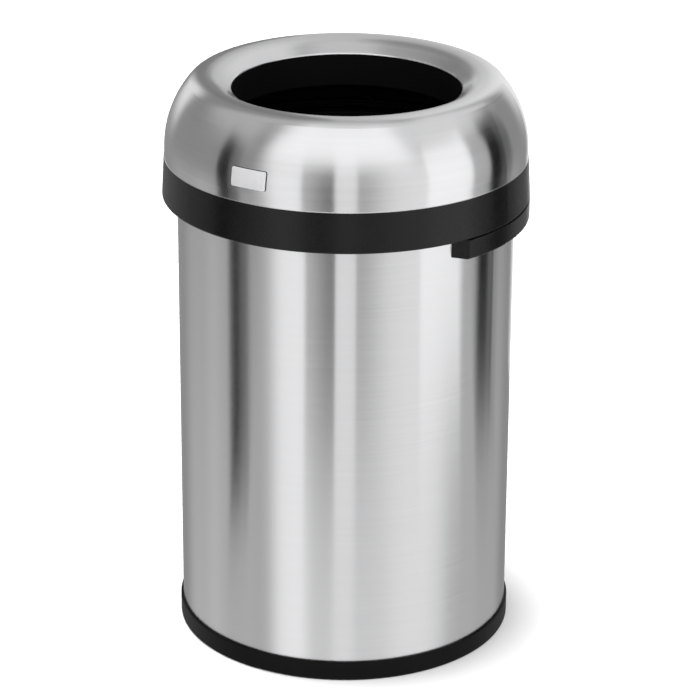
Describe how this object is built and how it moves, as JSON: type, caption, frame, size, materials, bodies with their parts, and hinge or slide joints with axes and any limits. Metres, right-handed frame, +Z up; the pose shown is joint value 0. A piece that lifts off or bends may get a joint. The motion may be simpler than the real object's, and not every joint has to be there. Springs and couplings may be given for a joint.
{
  "type": "open-top trash can",
  "caption": "Tall round brushed steel trash can with a hinged dome lid, a wide funnel opening in the top, a black skirt band, a black rear collar and a flat black base.",
  "frame": {"origin": "on the floor, under the centre of the can's flat base, on the can's axis", "axes": "+Z up along the can's axis, -Y the front with the badge and the finger gap, +Y the back with the lid hinge, +X the right side seen from the front"},
  "size_m": [0.447, 0.462, 0.7094],
  "materials": {
    "body_steel": "fine brushing round the can",
    "dome_steel": "satin, spun and brushed in rings",
    "pan_steel": "mill finish",
    "badge_steel": "pale satin plate, bare",
    "screw_steel": "zinc plated",
    "pin_steel": "turned bar",
    "hinge_metal": "black powder coat",
    "band_plastic": "matte, very fine moulded grain",
    "base_plastic": "satin black",
    "inner_plastic": "matte black moulding",
    "black_rubber": "matte",
    "bush_nylon": "natural nylon"
  },
  "bodies": {
    "can": {"body_shell": "body_steel", "body_rim": "inner_plastic", "bottom_pan": "pan_steel", "base_tray": "base_plastic", "base_screws": "screw_steel", "base_pads": "black_rubber", "rear_collar": "band_plastic", "collar_screws": "screw_steel", "collar_washers": "screw_steel", "stop_buffer": "black_rubber", "hinge_pin": "pin_steel", "pin_clip": "pin_steel", "ring_pin": "pin_steel"},
    "lid": {"lid_dome": "dome_steel", "dome_liner": "inner_plastic", "lid_band": "band_plastic", "lid_screws": "screw_steel", "lid_bumpers": "black_rubber", "badge_plate": "badge_steel", "badge_pad": "black_rubber", "lid_hinge": "hinge_metal", "hinge_bushes": "bush_nylon", "hinge_rivets": "pin_steel"},
    "bag_ring": {"bag_ring": "inner_plastic"}
  },
  "joints": [
    {"name": "lid_open", "type": "hinge", "parent": "can", "child": "lid", "pos_m": [0, 0.2305, 0.5659], "axis": [-1, 0, 0], "range_deg": [0, 100]},
    {"name": "bag_ring_tilt", "type": "hinge", "parent": "can", "child": "bag_ring", "pos_m": [0, 0.195, 0.6065], "axis": [-1, 0, 0], "range_deg": [0, 45]}
  ],
  "couplings": [
    {"joint": "bag_ring_tilt", "follows": "lid_open", "ratio": 0.45}
  ]
}
